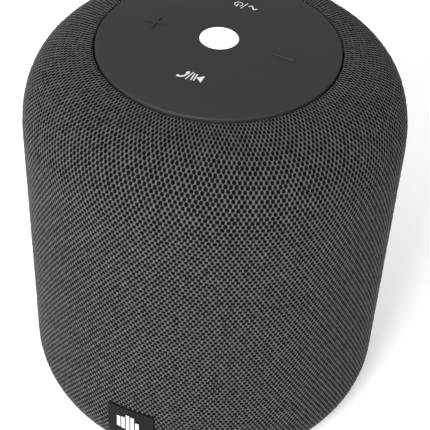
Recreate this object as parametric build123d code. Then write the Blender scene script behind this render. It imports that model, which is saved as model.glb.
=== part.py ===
from build123d import *
import math
import os

# Fabric-covered round tabletop speaker with a domed control panel on top.
# Millimetres, +Z up, origin on the floor at the centre of the foot, front towards -Y, sockets towards +Y.

# Overall shape of the fabric surface
body_radius = 62.0            # widest point, at the foot of the shoulder
body_height = 136.4           # floor to the level crown of the shoulder
body_taper = 0.8              # the wall is this much narrower at its lower end
shoulder_height = 29.6
shoulder_run = 31.0           # radial run of the shoulder curve
shoulder_fullness = 0.685     # handle length as a share of the curve's run and height
base_inset = 8.6              # the underside is this much smaller than the body
base_rounding = 15.5
base_fullness = 0.44
ground_gap = 1.5              # fabric underside above the floor

# Skins and general fits
fabric_thickness = 1.6
shell_thickness = 2.2
skin_gap = 0.1                # between the fabric and the shell behind it
seam_gap = 0.4                # visible gap round the panel and the base cover
slide_gap = 0.1               # radial clearance round moving keys and plungers
thread_gap = 0.05             # radial clearance of a screw in its hole
part_gap = 0.3                # clearance between separate assemblies

# Slots in the shell behind the fabric
slot_columns = 24
slot_width = 8.0
slot_height = 22.0
slot_pitch = 29.0
slot_rows = 3
slot_first_level = 26.0       # lower end of the lowest row

# Base
base_core = 2.8
base_lip = 3.0                # how far the plate reaches under the shell
foot_width = 5.0
foot_height = 3.0
foot_inset = 1.6              # from the edge of the base cover
post_radius = 4.6
post_bore = 3.1
chassis_screw_head = 2.9
chassis_screw_shank = 1.45
chassis_screw_grip = 18.0
chassis_screw_sink = 8.0      # the head sits this far below the tub's floor

# Acoustic enclosure
tub_bottom = 26.0
tub_clearance = 8.0           # between the tub and the shell
tub_wall = 2.5
tub_flat = 41.0               # distance of the flat rear wall from the axis
lid_thickness = 3.0
gasket_thickness = 1.0
gasket_width = 2.0
gasket_inset = 0.4            # from the outside of the tub's rim
lid_boss_radius = 3.5
lid_screw_angles = (15, 165, 205, 270, 335)
small_head = 2.4
small_shank = 1.2
small_head_height = 1.5
small_screw_length = 8.0

# Passive radiator in the tub's floor
radiator_hole = 28.0
radiator_frame_radius = 34.5
radiator_frame_height = 2.0
radiator_plate_radius = 20.0
radiator_plate_height = 1.6
radiator_drop = 5.0           # the plate's face hangs this far below the frame

# Battery
cell_radius = 9.2
cell_length = 65.0
cell_spacing = 19.2
cell_gap = 0.1
holder_wall = 2.0
holder_lift = 4.0             # open space between the tub's floor and the holder
holder_depth = 8.0

# Loudspeaker driver
driver_flange_radius = 36.0
driver_flange_height = 2.0
driver_hole = 30.0
basket_wall = 1.5
surround_outer = 30.0
surround_inner = 22.2
surround_rise = 3.0
membrane = 0.5
cone_neck = 9.2
cone_depth = 12.0
former_radius = 9.0
former_wall = 0.3
winding = 0.4
pole_radius = 8.3
gap_radius = 9.9
top_plate_radius = 20.0
top_plate_height = 4.0
magnet_radius = 22.5
magnet_bore = 12.0
magnet_height = 10.0
yoke_plate_height = 4.0
basket_depth = 24.0           # flange face to the motor's top plate
spider_radius = 19.5
spider_level = 17.0           # below the flange face
spider_rise = 3.0

# Sound diffuser over the driver
diffuser_plate_radius = 45.0
diffuser_plate_height = 2.2
diffuser_cone_radius = 30.0
diffuser_cone_height = 14.0
diffuser_nose = 3.0
diffuser_flare = 2.0          # how far under the plate the cone's side flattens out
pillar_screw_depth = 6.0
leg_screw_depth = 9.0
leg_radius = 3.2
leg_circle = 41.0             # legs between the lid and the diffuser
pillar_circle = 35.3          # pillars between the diffuser and the shell's flange
leg_angles = (45, 135, 225, 315)

# Control panel
panel_radius = 38.4
panel_crown = 2.3             # rise of the dome from its rim to its centre
panel_thickness = 2.0
panel_skirt = 2.0
panel_depth = 4.4             # rim to the carrier it rests on
panel_edge = 0.7              # rounding of the rim
carrier_thickness = 2.2
flange_thickness = 2.2
flange_inner = 33.0
key_radius = 8.5
key_circle = 21.5
key_travel = 0.4
key_names = ("minus", "mode", "plus", "call")     # counter-clockwise from +X
key_stem = 2.5
lens_radius = 6.1
lens_depth = 5.0
guide_radius = 4.0
board_thickness = 1.6
control_board_radius = 30.0
control_board_drop = 4.6      # board face below the carrier
board_screw_circle = 27.0
board_boss = 2.6
switch_width = 6.0
switch_height = 3.4
plunger_radius = 1.7
plunger_reach = 0.7           # plunger stands proud of the switch by this
plunger_depth = 0.7           # and reaches this far into it
led_width = 3.5
led_height = 1.0

# Electronics and sockets at the rear
main_board_width = 56.0
main_board_height = 46.0
main_board_level = 40.0
standoff = 3.0
port_board_width = 32.0
port_board_depth = 12.0
port_board_inset = 9.2        # board's outer edge to the outside of the body
port_board_hole_inset = 3.0   # its screw holes from its ends
port_board_hole_depth = 3.4   # and from its inner edge
port_board_level = 22.4
usb_offset = 8.0
usb_width = 8.94
usb_height = 3.26
usb_depth = 7.4
usb_wall = 0.3
usb_reach = 4.0               # the shell overhangs the board's edge
jack_offset = -7.0
jack_width = 6.4
jack_height = 5.2
jack_depth = 11.0
jack_nose = 2.9
jack_nose_length = 3.3
jack_bore = 1.8
jack_bore_length = 14.0
bezel_width = 34.0
bezel_lip_depth = 1.5
plug_room = 3.4               # the plug's overmould needs this much more than its shell
plug_pocket = 2.4             # depth of the pocket for it
bezel_height = 11.0
bezel_corner = 3.0
bezel_lip = 2.5
bezel_recess = 0.4            # below the fabric surface
ribbon_width = 8.0
ribbon_thickness = 0.4

# Tag on the fabric at the front
tag_width = 16.8
tag_height = 17.0
tag_top = 27.9
tag_offset = -0.75            # middle of the tag, to the left of the front
tag_thickness = 0.7
tag_corner = 0.8

# Levels worked out from the sizes above
crown_radius = body_radius - shoulder_run
lower_radius = body_radius - body_taper
port_board_front = lower_radius - port_board_inset
base_radius = body_radius - base_inset
shell_inset = fabric_thickness + skin_gap
inner_inset = shell_inset + shell_thickness
shell_floor = ground_gap + shell_inset
cover_radius = base_radius - base_lip
core_radius = cover_radius - base_lip
cover_top = shell_floor + base_core
tub_radius = lower_radius - inner_inset - tub_clearance
carrier_top = body_height - panel_depth
carrier_bottom = carrier_top - carrier_thickness
flange_bottom = carrier_bottom - flange_thickness
control_board_top = carrier_bottom - control_board_drop
control_board_bottom = control_board_top - board_thickness
plunger_top = control_board_top + switch_height + plunger_reach
diffuser_top = control_board_bottom - 3.0
diffuser_bottom = diffuser_top - diffuser_plate_height
lid_top = diffuser_bottom - diffuser_cone_height - 10.4
lid_bottom = lid_top - lid_thickness
tub_rim = lid_bottom - gasket_thickness
floor_top = tub_bottom + tub_wall
flange_face = lid_top + gasket_thickness + driver_flange_height
radiator_face = tub_bottom - radiator_frame_height
sleeve_opening = panel_radius + seam_gap
shell_opening = sleeve_opening + fabric_thickness + skin_gap
post_circle = radiator_frame_radius + part_gap + post_radius
cell_level = floor_top + holder_lift + holder_wall + cell_gap + cell_radius
port_board_top = port_board_level + board_thickness
bezel_level = port_board_top + 2.0
motor_top = flange_face - basket_depth
magnet_top = motor_top - top_plate_height
magnet_bottom = magnet_top - magnet_height
quarter_angles = (0, 90, 180, 270)


def disc(radius, low, high, x=0.0, y=0.0):
    return Pos(x, y, low) * extrude(Circle(radius), high - low)


def ring(outer, inner, low, high, x=0.0, y=0.0):
    return Pos(x, y, low) * extrude(Circle(outer) - Circle(inner), high - low)


def block(x, y, z):
    """A box from three (low, high) pairs."""
    size = [high - low for low, high in (x, y, z)]
    middle = [(high + low) / 2 for low, high in (x, y, z)]
    return Pos(*middle) * Box(*size)


def polar(radius, angle):
    return radius * math.cos(math.radians(angle)), radius * math.sin(math.radians(angle))


def turned(points):
    """Solid of revolution about Z from an outline of (radius, height) points."""
    outline = Polyline([(radius, 0, height) for radius, height in points], close=True)
    return revolve(make_face(outline), Axis.Z)


def screw(x, y, head_low, head_radius, head_height, shank_radius, length):
    """Pan-head screw pointing down, its head resting at head_low."""
    head = disc(head_radius, head_low, head_low + head_height, x, y)
    head = fillet(head.edges().group_by(Axis.Z)[-1], head_height / 2)
    slot = block((x - head_radius, x + head_radius), (y - 0.35, y + 0.35),
                 (head_low + head_height * 0.5, head_low + head_height))
    return head - slot + disc(shank_radius, head_low - length, head_low, x, y)


def body_layer(inset):
    """The body's outer form, shrunk by inset on every side, as one solid."""
    floor = ground_gap + inset
    crown = body_height - inset
    side = lower_radius - inset
    wide = body_radius - inset
    low_end = ground_gap + base_rounding
    high_end = body_height - shoulder_height
    base_reach = (side - base_radius) * base_fullness
    base_rise = (low_end - floor) * base_fullness
    rise = (crown - high_end) * shoulder_fullness
    reach = (wide - crown_radius) * shoulder_fullness
    outline = [
        Line((0, 0, crown), (0, 0, floor)),
        Line((0, 0, floor), (base_radius, 0, floor)),
        Bezier((base_radius, 0, floor), (base_radius + base_reach, 0, floor),
               (side, 0, low_end - base_rise), (side, 0, low_end)),
        Line((side, 0, low_end), (wide, 0, high_end)),
        Bezier((wide, 0, high_end), (wide, 0, high_end + rise),
               (crown_radius + reach, 0, crown), (crown_radius, 0, crown)),
        Line((crown_radius, 0, crown), (0, 0, crown)),
    ]
    return revolve(make_face(outline), Axis.Z)


def bezel_window(margin):
    """Rounded bar along +Y that cuts the opening for the socket panel."""
    face = RectangleRounded(bezel_width + 2 * margin, bezel_height + 2 * margin, bezel_corner + margin)
    return Pos(0, 0, bezel_level) * extrude(Plane.XZ * face, -2 * body_radius)


def fabric_sleeve():
    outer = body_layer(0)
    sleeve = outer - body_layer(fabric_thickness)
    lip_low = body_height - 3.4
    lip = outer & ring(sleeve_opening + fabric_thickness, sleeve_opening, lip_low, body_height + 1)
    sleeve += lip
    sleeve -= disc(sleeve_opening, body_height / 2, body_height + 1)
    sleeve -= disc(cover_radius + seam_gap, 0, shell_floor + 1)
    return sleeve - bezel_window(skin_gap)


def grille_frame():
    outer = body_layer(shell_inset)
    shell = outer - body_layer(inner_inset)
    shell += outer & ring(body_radius, flange_inner, flange_bottom, carrier_bottom)
    shell -= disc(shell_opening, carrier_bottom, body_height + 1)
    shell -= disc(core_radius + skin_gap, 0, cover_top + 4)
    slot = Plane.YZ * SlotOverall(slot_height, slot_width, rotation=90)
    bar = extrude(slot, body_radius)
    cutters = []
    for row in range(slot_rows):
        level = slot_first_level + slot_height / 2 + row * slot_pitch
        for column in range(slot_columns):
            angle = (column + 0.5) * 360 / slot_columns
            cutters.append(Pos(0, 0, level) * Rot(0, 0, angle) * bar)
    hub = disc(tub_radius, 0, body_height)
    keep = bezel_window(bezel_lip + 1)
    shell -= (Compound(cutters) - hub) - keep
    for angle in leg_angles:
        shell -= disc(small_shank + thread_gap, flange_bottom, carrier_bottom, *polar(pillar_circle, angle))
    return shell - bezel_window(skin_gap)


def base_cover():
    cover = disc(cover_radius, ground_gap, shell_floor) + disc(core_radius, shell_floor, cover_top)
    cover = chamfer(cover.edges().group_by(Axis.Z)[0], 0.4)
    for angle in leg_angles:
        cover += disc(post_radius, cover_top, tub_bottom, *polar(post_circle, angle))
    for x, y in port_board_holes():
        cover += disc(board_boss, cover_top, port_board_level, x, y)
        cover -= disc(small_shank + thread_gap, port_board_level - small_screw_length, port_board_level, x, y)
    groove = foot_height - ground_gap
    cover -= ring(cover_radius - foot_inset, cover_radius - foot_inset - foot_width, 0, ground_gap + groove)
    head_top = tub_bottom - chassis_screw_sink
    for angle in leg_angles:
        x, y = polar(post_circle, angle)
        cover -= disc(post_bore, 0, head_top, x, y)
        cover -= disc(chassis_screw_shank + thread_gap, head_top, tub_bottom, x, y)
    return cover


def foot_ring():
    foot = ring(cover_radius - foot_inset, cover_radius - foot_inset - foot_width, 0, foot_height)
    return fillet(foot.edges().group_by(Axis.Z)[0], 0.8)


def base_screws():
    head_top = tub_bottom - chassis_screw_sink
    screws = []
    for angle in leg_angles:
        x, y = polar(post_circle, angle)
        upside_down = screw(0, 0, 0, chassis_screw_head, 2.2, chassis_screw_shank, chassis_screw_grip)
        screws.append(Pos(x, y, head_top) * Rot(180, 0, 0) * upside_down)
    return Compound(screws)


def tub_outline(radius, flat):
    """Round outline with one flat side towards +Y."""
    return Circle(radius) - Pos(0, flat + radius) * Rectangle(3 * radius, 2 * radius)


def enclosure_tub():
    inner = tub_outline(tub_radius - tub_wall, tub_flat - tub_wall)
    tub = Pos(0, 0, tub_bottom) * extrude(tub_outline(tub_radius, tub_flat), tub_rim - tub_bottom)
    tub -= Pos(0, 0, floor_top) * extrude(inner, body_height)
    inside = Pos(0, 0, floor_top) * extrude(tub_outline(tub_radius - 1, tub_flat - 1), tub_rim - floor_top)
    for angle in lid_screw_angles:
        x, y = polar(lid_boss_circle(), angle)
        tub += disc(lid_boss_radius, tub_rim - 12, tub_rim, x, y) & inside
        tub -= disc(small_shank + thread_gap, tub_rim - 9, tub_rim, x, y)
    for angle in leg_angles:
        x, y = polar(post_circle, angle)
        tub += disc(post_radius, floor_top, floor_top + 12, x, y) & inside
        tub -= disc(chassis_screw_shank + thread_gap, tub_bottom, floor_top + 9, x, y)
    tub -= disc(radiator_hole, tub_bottom, floor_top)
    for angle in quarter_angles:
        x, y = polar(radiator_screw_circle(), angle)
        tub -= disc(small_shank + thread_gap, tub_bottom, floor_top, x, y)
    for x, z in main_board_holes():
        boss = Pos(x, tub_flat + standoff, z) * extrude(Plane.XZ * Circle(board_boss), standoff)
        tub += boss
        screw_hole = extrude(Plane.XZ * Circle(small_shank + thread_gap), standoff + 2)
        tub -= Pos(x, tub_flat + standoff, z) * screw_hole
    return tub


def lid_boss_circle():
    return tub_radius - tub_wall - 1.5


def radiator_screw_circle():
    return (radiator_hole + radiator_frame_radius) / 2


def lid_gasket():
    outside = tub_outline(tub_radius - gasket_inset, tub_flat - gasket_inset)
    inside = tub_outline(tub_radius - gasket_width, tub_flat - gasket_width)
    return Pos(0, 0, tub_rim) * extrude(outside - inside, gasket_thickness)


def enclosure_lid():
    lid = Pos(0, 0, lid_bottom) * extrude(tub_outline(tub_radius, tub_flat), lid_thickness)
    lid -= disc(driver_hole, lid_bottom, lid_top)
    for angle in lid_screw_angles:
        lid -= disc(small_shank + thread_gap, lid_bottom, lid_top, *polar(lid_boss_circle(), angle))
    for angle in leg_angles:
        lid -= disc(small_shank + thread_gap, lid_bottom, lid_top, *polar(leg_circle, angle))
    for angle in quarter_angles:
        lid -= disc(small_shank + thread_gap, lid_bottom, lid_top, *polar(driver_screw_circle(), angle))
    return lid


def driver_screw_circle():
    return (driver_flange_radius + driver_hole) / 2


def lid_screws():
    return Compound([screw(*polar(lid_boss_circle(), angle), lid_top, small_head, small_head_height,
                           small_shank, small_screw_length) for angle in lid_screw_angles])


def radiator_frame():
    frame = ring(radiator_frame_radius, radiator_hole, radiator_face, tub_bottom)
    for angle in quarter_angles:
        frame -= disc(small_shank + thread_gap, radiator_face, tub_bottom,
                      *polar(radiator_screw_circle(), angle))
    return frame


def radiator_screws():
    length = radiator_frame_height + tub_wall
    screws = []
    for angle in quarter_angles:
        x, y = polar(radiator_screw_circle(), angle)
        upside_down = screw(0, 0, 0, small_head, small_head_height, small_shank, length)
        screws.append(Pos(x, y, radiator_face) * Rot(180, 0, 0) * upside_down)
    return Compound(screws)


def membrane_ring(outer, flat_end, inner, fixed, rise):
    """Rubber membrane from a clamped outer lip at fixed to an inner lip at fixed + rise."""
    step = math.copysign(membrane, rise)
    middle = (flat_end + inner) / 2
    outline = [
        Line((outer, 0, fixed), (outer, 0, fixed + step)),
        Line((outer, 0, fixed + step), (flat_end, 0, fixed + step)),
        Bezier((flat_end, 0, fixed + step), (middle, 0, fixed + step), (middle, 0, fixed + rise),
               (inner, 0, fixed + rise)),
        Line((inner, 0, fixed + rise), (inner, 0, fixed + rise - step)),
        Bezier((inner, 0, fixed + rise - step), (middle, 0, fixed + rise - step), (middle, 0, fixed),
               (flat_end, 0, fixed)),
        Line((flat_end, 0, fixed), (outer, 0, fixed)),
    ]
    return revolve(make_face(outline), Axis.Z)


def radiator_surround():
    return membrane_ring(radiator_hole - slide_gap, radiator_hole - 2, radiator_plate_radius + slide_gap,
                         tub_bottom, -radiator_drop - radiator_frame_height)


def radiator_plate():
    face = radiator_face - radiator_drop
    plate = disc(radiator_plate_radius, face, face + radiator_plate_height)
    weight = disc(radiator_plate_radius / 2, face + radiator_plate_height, face + 2 * radiator_plate_height)
    return plate + weight


def battery_cells():
    cells = []
    for side in (-1, 1):
        can = extrude(Plane.YZ * Circle(cell_radius), cell_length)
        cap = Pos(cell_length, 0, 0) * extrude(Plane.YZ * Circle(cell_radius / 3), 0.8)
        cells.append(Pos(-cell_length / 2, side * cell_spacing / 2, cell_level) * (can + cap))
    return Compound(cells)


def battery_holder():
    half_length = cell_length / 2 + 1.2
    half_width = cell_spacing / 2 + cell_radius + cell_gap + holder_wall
    low = floor_top + holder_lift
    tray = block((-half_length, half_length), (-half_width, half_width),
                 (low, low + holder_wall + holder_depth))
    for side in (-1, 1):
        trough = extrude(Plane.YZ * Circle(cell_radius + cell_gap), 2 * half_length)
        tray -= Pos(-half_length, side * cell_spacing / 2, cell_level) * trough
    for side in (-1, 1):
        wall = (side * half_length, side * (half_length + holder_wall))
        tray += block(sorted(wall), (-half_width, half_width), (low, low + 2 * holder_depth))
        for end in (-1, 1):
            foot_x = side * (half_length - 1)
            foot_y = end * (half_width - 3)
            tray += disc(3, floor_top, low, foot_x, foot_y)
    return tray


def driver_gasket():
    gasket = ring(driver_flange_radius, driver_hole, lid_top, lid_top + gasket_thickness)
    for angle in quarter_angles:
        gasket -= disc(small_shank + thread_gap, lid_top, lid_top + gasket_thickness,
                       *polar(driver_screw_circle(), angle))
    return gasket


def driver_basket():
    under = flange_face - driver_flange_height
    wide = driver_hole - part_gap
    narrow = spider_radius + 2 * basket_wall
    ledge = flange_face - spider_level
    basket = turned([
        (driver_flange_radius, under), (driver_flange_radius, flange_face), (surround_outer - 4, flange_face),
        (surround_outer - 4, under), (narrow - basket_wall, ledge), (spider_radius - 1, ledge),
        (spider_radius - 1, ledge - 1), (narrow - basket_wall, ledge - 1),
        (narrow - basket_wall, motor_top + 1.5), (magnet_bore, motor_top + 1.5), (magnet_bore, motor_top),
        (narrow, motor_top), (narrow, ledge), (wide, under)])
    for angle in quarter_angles:
        x, y = polar(driver_screw_circle(), angle)
        basket -= disc(small_shank + thread_gap, under, flange_face, x, y)
        window = block((spider_radius, driver_hole + 2), (-9, 9), (ledge + 2, under - 2))
        basket -= Rot(0, 0, angle + 45) * window
    return basket


def driver_surround():
    return membrane_ring(surround_outer, surround_outer - 3, surround_inner, flange_face, surround_rise)


def driver_cone():
    edge = surround_inner - slide_gap
    top = flange_face + surround_rise
    return turned([(edge, top), (edge, top - membrane), (cone_neck, top - membrane - cone_depth),
                   (former_radius, top - membrane - cone_depth), (former_radius, top - cone_depth),
                   (edge - 1, top)])


def dust_cap():
    seat = cone_neck + 1.0
    slope = cone_depth / (surround_inner - slide_gap - 1 - former_radius)
    low = flange_face + surround_rise - cone_depth + (seat - former_radius) * slope + 0.02
    cap = [
        Line((seat, 0, low), (seat - membrane, 0, low)),
        Bezier((seat - membrane, 0, low), (seat * 0.6, 0, low + 2.6), (0, 0, low + 3)),
        Line((0, 0, low + 3), (0, 0, low + 3 + membrane)),
        Bezier((0, 0, low + 3 + membrane), (seat * 0.6, 0, low + 3), (seat, 0, low)),
    ]
    return revolve(make_face(cap), Axis.Z)


def voice_coil():
    top = flange_face + surround_rise - cone_depth
    coil_low = motor_top - top_plate_height - 2
    former = ring(former_radius, former_radius - former_wall, coil_low, top)
    return former + ring(former_radius + winding, former_radius - former_wall / 2, coil_low, motor_top + 2)


def spider():
    return membrane_ring(spider_radius, spider_radius - 2, former_radius + slide_gap,
                         flange_face - spider_level, spider_rise)


def motor_top_plate():
    return ring(top_plate_radius, gap_radius, magnet_top, motor_top)


def motor_magnet():
    magnet = ring(magnet_radius, magnet_bore, magnet_bottom, magnet_top)
    return chamfer(magnet.edges(), 0.5)


def motor_yoke():
    plate = disc(top_plate_radius, magnet_bottom - yoke_plate_height, magnet_bottom)
    return plate + disc(pole_radius, magnet_bottom, motor_top)


def driver_screws():
    return Compound([screw(*polar(driver_screw_circle(), angle), flange_face, small_head, small_head_height,
                           small_shank, small_screw_length - 2) for angle in quarter_angles])


def sound_diffuser():
    body = disc(diffuser_plate_radius, diffuser_bottom, diffuser_top)
    tip = diffuser_bottom - diffuser_cone_height
    middle = (diffuser_cone_radius + diffuser_nose) / 3
    cone = [
        Line((0, 0, tip), (diffuser_nose, 0, tip)),
        Bezier((diffuser_nose, 0, tip), (middle, 0, diffuser_bottom - diffuser_flare),
               (diffuser_cone_radius, 0, diffuser_bottom)),
        Line((diffuser_cone_radius, 0, diffuser_bottom), (0, 0, diffuser_bottom)),
        Line((0, 0, diffuser_bottom), (0, 0, tip)),
    ]
    body += revolve(make_face(cone), Axis.Z)
    for angle in leg_angles:
        leg = polar(leg_circle, angle)
        pillar = polar(pillar_circle, angle)
        body += disc(leg_radius, lid_top, diffuser_top, *leg)
        body += disc(leg_radius, diffuser_bottom, flange_bottom, *pillar)
        body -= disc(small_shank + thread_gap, flange_bottom - pillar_screw_depth, flange_bottom, *pillar)
        body -= disc(small_shank + thread_gap, lid_top, lid_top + leg_screw_depth, *leg)
    return body


def diffuser_screws():
    length = lid_thickness + 7
    screws = []
    for angle in leg_angles:
        x, y = polar(leg_circle, angle)
        upside_down = screw(0, 0, 0, small_head, small_head_height, small_shank, length)
        screws.append(Pos(x, y, lid_bottom) * Rot(180, 0, 0) * upside_down)
    return Compound(screws)


def panel_dome(drop):
    """Everything below the panel's domed face, lowered by drop."""
    sphere_radius = panel_radius ** 2 / (2 * panel_crown) + panel_crown / 2
    centre = body_height + panel_crown - sphere_radius
    return Pos(0, 0, centre) * Sphere(sphere_radius - drop)


def top_panel():
    blank = disc(panel_radius, carrier_top, body_height + panel_crown + 1) & panel_dome(0)
    rim = [edge for edge in blank.edges() if abs(edge.bounding_box().min.Z - body_height) < 0.01
           and abs(edge.bounding_box().max.Z - body_height) < 0.01]
    blank = fillet(rim, panel_edge)
    hollow = disc(panel_radius - panel_skirt, carrier_top, body_height + panel_crown)
    hollow &= panel_dome(panel_thickness)
    pad = blank - hollow
    pad -= disc(lens_radius + slide_gap, carrier_top, body_height + panel_crown + 1)
    for angle in quarter_angles:
        pad -= disc(key_radius + slide_gap, carrier_top, body_height + panel_crown + 1,
                    *polar(key_circle, angle))
    return pad


def key(angle):
    """One finger area of the panel with the stem that presses its switch."""
    x, y = polar(key_circle, angle)
    column = disc(key_radius, carrier_top, body_height + panel_crown + 1, x, y)
    face = (column & panel_dome(0)) - panel_dome(panel_thickness)
    stem = disc(key_stem, plunger_top, body_height, x, y)
    return face + (stem & panel_dome(panel_thickness - 0.5))


def switch_plunger(angle):
    low = plunger_top - plunger_reach - plunger_depth
    return disc(plunger_radius, low, plunger_top, *polar(key_circle, angle))


def key_switches():
    switches = []
    hole_depth = plunger_depth + key_travel + part_gap
    top = control_board_top + switch_height
    for angle in quarter_angles:
        x, y = polar(key_circle, angle)
        half = switch_width / 2
        housing = block((x - half, x + half), (y - half, y + half), (control_board_top, top))
        housing = chamfer(housing.edges().filter_by(Axis.Z), 0.5)
        switches.append(housing - disc(plunger_radius + slide_gap, top - hole_depth, top, x, y))
    return Compound(switches)


def control_carrier():
    plate = disc(sleeve_opening - 2 * seam_gap, carrier_bottom, carrier_top)
    for angle in quarter_angles:
        plate -= disc(key_stem + part_gap + 0.4, carrier_bottom, carrier_top, *polar(key_circle, angle))
    plate -= disc(guide_radius + slide_gap, carrier_bottom, carrier_top)
    for angle in leg_angles:
        boss = polar(board_screw_circle, angle)
        plate += disc(board_boss, control_board_top, carrier_bottom, *boss)
        plate -= disc(small_shank + thread_gap, control_board_top, carrier_top - 0.6, *boss)
        pillar = polar(pillar_circle, angle)
        plate -= disc(small_shank + thread_gap, carrier_bottom, carrier_top, *pillar)
        plate -= disc(small_head + slide_gap, carrier_top - small_head_height, carrier_top, *pillar)
    return plate


def carrier_screws():
    """Screws that clamp the carrier and the shell's flange down on the diffuser's pillars."""
    return Compound([screw(*polar(pillar_circle, angle), carrier_top - small_head_height, small_head,
                           small_head_height, small_shank, small_screw_length) for angle in leg_angles])


def control_board():
    board = disc(control_board_radius, control_board_bottom, control_board_top)
    for angle in leg_angles:
        board -= disc(small_shank + thread_gap, control_board_bottom, control_board_top,
                      *polar(board_screw_circle, angle))
    return board


def board_screws():
    screws = []
    for angle in leg_angles:
        x, y = polar(board_screw_circle, angle)
        upside_down = screw(0, 0, 0, small_head, small_head_height, small_shank, board_thickness + 5)
        screws.append(Pos(x, y, control_board_bottom) * Rot(180, 0, 0) * upside_down)
    return Compound(screws)


def status_led():
    half = led_width / 2
    led = block((-half, half), (-half, half), (control_board_top, control_board_top + led_height))
    return chamfer(led.edges().group_by(Axis.Z)[-1], 0.2)


def light_guide():
    low = control_board_top + led_height + part_gap
    high = body_height + panel_crown - lens_depth
    return disc(guide_radius, low, high)


def light_lens():
    high = body_height + panel_crown - 0.05
    lens = disc(lens_radius, body_height + panel_crown - lens_depth, high)
    return fillet(lens.edges().group_by(Axis.Z)[-1], 0.25)


def main_board_holes():
    inset = 4.0
    across = main_board_width / 2 - inset
    low = main_board_level + inset
    high = main_board_level + main_board_height - inset
    return [(x, z) for x in (-across, across) for z in (low, high)]


def main_board():
    front = tub_flat + standoff
    board = block((-main_board_width / 2, main_board_width / 2), (front, front + board_thickness),
                  (main_board_level, main_board_level + main_board_height))
    for x, z in main_board_holes():
        board -= Pos(x, front, z) * extrude(Plane.XZ * Circle(small_shank + thread_gap), -board_thickness)
    return board


def main_board_screws():
    screws = []
    face = tub_flat + standoff + board_thickness
    for x, z in main_board_holes():
        outward = screw(0, 0, 0, small_head, small_head_height, small_shank, board_thickness + standoff + 1)
        screws.append(Pos(x, face, z) * Rot(-90, 0, 0) * outward)
    return Compound(screws)


def main_board_parts():
    """Amplifier and processor chips, inductors, capacitors and the ribbon socket."""
    face = tub_flat + standoff + board_thickness
    level = main_board_level
    parts = [
        block((-10, 0), (face, face + 1.2), (level + 26, level + 36)),
        block((6, 13), (face, face + 1.0), (level + 27, level + 34)),
        block((-7, 7), (face, face + 2.0), (level + main_board_height - 8, level + main_board_height - 4)),
        block((12, 18), (face, face + 1.6), (level + 12, level + 16)),
    ]
    for x in (-16, -8):
        coil = Pos(x, face, level + 14) * extrude(Plane.XZ * Circle(3.4), -4.0)
        parts.append(coil)
    for x in (0, 8):
        can = Pos(x, face, level + 6) * extrude(Plane.XZ * Circle(2.5), -5.4)
        parts.append(fillet(can.edges().group_by(Axis.Y)[-1], 0.5))
    return Compound(parts)


def port_board_holes():
    across = port_board_width / 2 - port_board_hole_inset
    level = port_board_front - port_board_depth + port_board_hole_depth
    return [(x, level) for x in (-across, across)]


def port_board():
    half = port_board_width / 2
    board = block((-half, half), (port_board_front - port_board_depth, port_board_front),
                  (port_board_level, port_board_top))
    for x, y in port_board_holes():
        board -= disc(small_shank + thread_gap, port_board_level, port_board_top, x, y)
    return board


def port_board_screws():
    return Compound([screw(x, y, port_board_top, small_head, small_head_height, small_shank,
                           small_screw_length - 2) for x, y in port_board_holes()])


def usb_c_socket():
    level = port_board_top + usb_height / 2
    mouth = port_board_front + usb_reach
    corner = usb_height / 2 - 0.01
    outside = RectangleRounded(usb_width, usb_height, corner)
    inside = RectangleRounded(usb_width - 2 * usb_wall, usb_height - 2 * usb_wall, corner - usb_wall)
    shell = Pos(usb_offset, mouth, level) * extrude(Plane.XZ * outside, usb_depth)
    shell -= Pos(usb_offset, mouth, level) * extrude(Plane.XZ * inside, usb_depth - 1)
    tongue = block((usb_offset - 3.3, usb_offset + 3.3), (mouth - usb_depth, mouth - 0.6),
                   (level - 0.35, level + 0.35))
    return shell + tongue


def aux_jack():
    level = jack_level()
    back = port_board_front + part_gap - jack_depth
    front = port_board_front + part_gap
    half = jack_width / 2
    housing = block((jack_offset - half, jack_offset + half), (back, front),
                    (port_board_top, port_board_top + jack_height))
    nose = Pos(jack_offset, front, level) * extrude(Plane.XZ * Circle(jack_nose), -jack_nose_end())
    bore = Pos(jack_offset, front + jack_nose_end(), level) * extrude(Plane.XZ * Circle(jack_bore),
                                                                   jack_bore_length)
    return housing + nose - bore


def jack_level():
    return port_board_top + jack_height / 2


def jack_nose_end():
    """Length of the jack's round nose, which ends just inside the bezel's outer face."""
    return bezel_face_at(jack_offset) - part_gap - port_board_front - part_gap


def bezel_face_at(x):
    """Distance of the bezel's outer face from the X axis plane at a given x."""
    outer = lower_radius - bezel_recess
    return math.sqrt(outer ** 2 - x ** 2)


def port_bezel():
    outer = lower_radius - bezel_recess
    back = lower_radius - inner_inset - part_gap
    low, high = bezel_level - bezel_height, bezel_level + bezel_height
    face = ring(outer, back - 1, low, high) & bezel_window(0)
    lip = ring(back, back - bezel_lip_depth, low, high) & bezel_window(bezel_lip)
    bezel = face + lip
    usb_level = port_board_top + usb_height / 2
    opening = RectangleRounded(usb_width + 2 * part_gap, usb_height + 2 * part_gap, usb_height / 2)
    bezel -= Pos(usb_offset, 0, usb_level) * extrude(Plane.XZ * opening, -2 * body_radius)
    pocket = RectangleRounded(usb_width + plug_room, usb_height + plug_room, usb_height / 2 + 1)
    bezel -= Pos(usb_offset, outer - plug_pocket, usb_level) * extrude(Plane.XZ * pocket, -body_radius)
    jack_hole = extrude(Plane.XZ * Circle(jack_nose + slide_gap), -2 * body_radius)
    bezel -= Pos(jack_offset, 0, jack_level()) * jack_hole
    return bezel


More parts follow.
